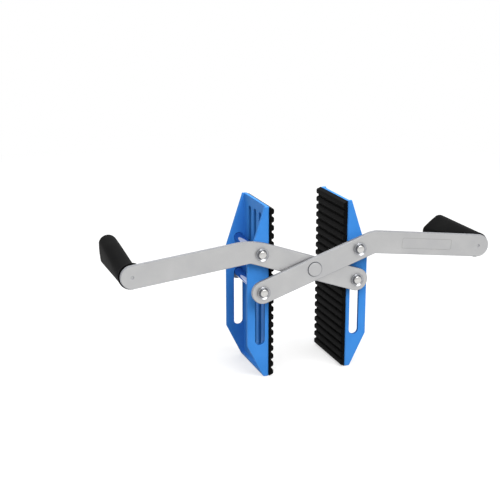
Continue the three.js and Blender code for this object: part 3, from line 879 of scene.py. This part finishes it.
def make_etched_frame():
    """A bare frame with round corners, etched on the outer stretch of the right arm."""
    bend = math.radians(REST_ANGLE + DROOP_ANGLE)
    face = box_mm("right_arm")[0].y
    on_arm = tilted(1, face - ETCHED_PROUD, axis_of("centre_pivot")[1])

    def rounded(inset):
        half_wide, half_tall = ETCHED_WIDTH / 2 - inset, ETCHED_HEIGHT / 2 - inset
        radius = ETCHED_CORNER - inset
        return [point for sx, sy, start in ((1, 1, 0), (-1, 1, 90), (-1, -1, 180), (1, -1, 270))
                for point in arc(sx * (half_wide - radius), sy * (half_tall - radius), radius,
                                 start, start + 90, SMALL_BEND_STEPS)]

    def place(across, up, deep):
        reach = ETCHED_REACH + across
        return on_arm(BEND_REACH + reach * math.cos(bend) + up * math.sin(bend),
                      -reach * math.sin(bend) + up * math.cos(bend), deep)
    shape = cut_plate(rounded(0), [rounded(ETCHED_LINE)], ETCHED_THICKNESS, ETCHED_EDGE_ROUND)
    make_piece("right_arm_etched_frame", move(shape, place), [etching], "right_arm")


make_etched_frame()


# Stage, light and camera, in metres

FLOOR_HALF_WIDTH = 30
FLOOR_CELLS = 8              # of its grid, each way
FLOOR_DROP = 0.0002          # below the feet, so that the two don't flicker
SHADOW_START = 0.5           # from the middle, where the floor begins to turn all white
SHADOW_END = 1.6
FLOOR_WHITE = 0.6            # share of plain white over the shadow, near the clamp
WORLD_LIGHT = 0.35           # of the white world on the clamp, where a seen white is 1
CEILING_HEIGHT = 3
CEILING_LIGHT = 1.8          # watts to the square metre
CEILING_SPREAD = 80          # degrees
AIM = (0, 0, 0.12)           # the middle of the clamp
CAMERA_PLACE = (-0.5292453, -1.342439, 0.5505005)
CAMERA_DOWN = 0.27           # below the level, radians
CAMERA_TURN = 0.3328         # to the right, radians
CAMERA_LENS = 81.288         # millimetres
CAMERA_SENSOR = 36           # millimetres across


def seen_rays(owner, ray):
    """1 for a ray that the eye sends straight, by a reflection or through glass, else 0."""
    straight = add(owner, "ShaderNodeMath", {"operation": 'MAXIMUM'},
                   {0: ray.outputs["Is Camera Ray"], 1: ray.outputs["Is Glossy Ray"]})
    through = add(owner, "ShaderNodeMath", {"operation": 'MAXIMUM'},
                  {0: straight.outputs[0], 1: ray.outputs["Is Transmission Ray"]})
    return through.outputs[0]


def pale_floor():
    """A pale floor that keeps the soft shadow round the clamp and is white to the camera and in
    reflections, wholly so from 1.6 m away, where no horizon shows against the white world.
    It throws less light back up than a white one would, as a floor far below does."""
    floor = new_material("pale_floor")
    ray = add(floor, "ShaderNodeLightPath")
    seen = seen_rays(floor, ray)
    where = add(floor, "ShaderNodeTexCoord").outputs["Object"]
    away = add(floor, "ShaderNodeVectorMath", {"operation": 'LENGTH'}, {0: where})
    fade = add(floor, "ShaderNodeMapRange", {
        "From Min": SHADOW_START, "From Max": SHADOW_END, "To Min": FLOOR_WHITE, "To Max": 1.0},
        {"Value": away.outputs["Value"]})
    share = add(floor, "ShaderNodeMath", {"operation": 'MULTIPLY'}, {0: seen, 1: fade.outputs["Result"]})
    bounced = add(floor, "ShaderNodeMix", {"data_type": 'RGBA', 6: colour("#F4F4F4"),
                                           7: colour("#9A9A9A")}, {0: ray.outputs["Is Diffuse Ray"]})
    matt = add(floor, "ShaderNodeBsdfDiffuse", links={"Color": bounced.outputs[2]})
    white = add(floor, "ShaderNodeEmission", {"Color": colour("#FFFFFF"), "Strength": 1.0})
    mix = add(floor, "ShaderNodeMixShader", links={
        "Fac": share.outputs[0], 1: matt.outputs[0], 2: white.outputs[0]})
    add(floor, "ShaderNodeOutputMaterial", links={"Surface": mix.outputs[0]})
    return floor


def make_floor():
    sheet = bmesh.new()
    bmesh.ops.create_grid(sheet, x_segments=FLOOR_CELLS, y_segments=FLOOR_CELLS, size=FLOOR_HALF_WIDTH)
    mesh = bpy.data.meshes.new("floor")
    sheet.to_mesh(mesh)
    sheet.free()
    mesh.materials.append(pale_floor())
    ground = bpy.data.objects.new("floor", mesh)
    ground.location.z = -FLOOR_DROP
    show(ground)


def white_studio():
    """A world that is white to the eye and lights the clamp softly from all round."""
    world = bpy.data.worlds.new("studio")
    bpy.context.scene.world = world
    world.use_nodes = True
    world.node_tree.nodes.clear()
    ray = add(world, "ShaderNodeLightPath")
    level = add(world, "ShaderNodeMapRange", {"To Min": WORLD_LIGHT, "To Max": 1.0},
                {"Value": seen_rays(world, ray)})
    sky = add(world, "ShaderNodeBackground", {"Color": colour("#FFFFFF")}, {"Strength": level.outputs[0]})
    add(world, "ShaderNodeOutputWorld", links={"Surface": sky.outputs[0]})


def soft_box(name, place, size, power):
    """A square soft box that faces the clamp; power in watts."""
    lamp = bpy.data.lights.new(name, 'AREA')
    lamp.shape = 'SQUARE'
    lamp.size = size
    lamp.energy = power
    box = show(bpy.data.objects.new(name, lamp))
    box.location = place
    box.rotation_euler = (Vector(AIM) - Vector(place)).to_track_quat('-Z', 'Y').to_euler()


def light_ceiling():
    """A wide overhead ceiling of light, even over the whole floor."""
    lamp = bpy.data.lights.new("ceiling", 'SUN')
    lamp.energy = CEILING_LIGHT
    lamp.angle = math.radians(CEILING_SPREAD)
    ceiling = show(bpy.data.objects.new("ceiling", lamp))
    ceiling.location = (0, 0, CEILING_HEIGHT)
    ceiling.visible_glossy = False


def make_camera():
    """The camera at the photograph's viewing angle."""
    eye = bpy.data.cameras.new("camera")
    eye.sensor_width = CAMERA_SENSOR
    eye.lens = CAMERA_LENS
    camera = show(bpy.data.objects.new("camera", eye))
    camera.location = CAMERA_PLACE
    camera.rotation_euler = (math.pi / 2 - CAMERA_DOWN, 0, -CAMERA_TURN)
    bpy.context.scene.camera = camera


make_floor()
white_studio()
soft_box("front_soft_box", place=(0.55, -1.9, 2.7), size=2.4, power=96)
light_ceiling()
soft_box("left_fill_box", place=(-2.3, -1.4, 1.6), size=1.6, power=6.5)
soft_box("rear_soft_box", place=(-0.4, 1.6, 2.7), size=1.8, power=20)
make_camera()
bpy.context.scene.view_settings.view_transform = 'Standard'
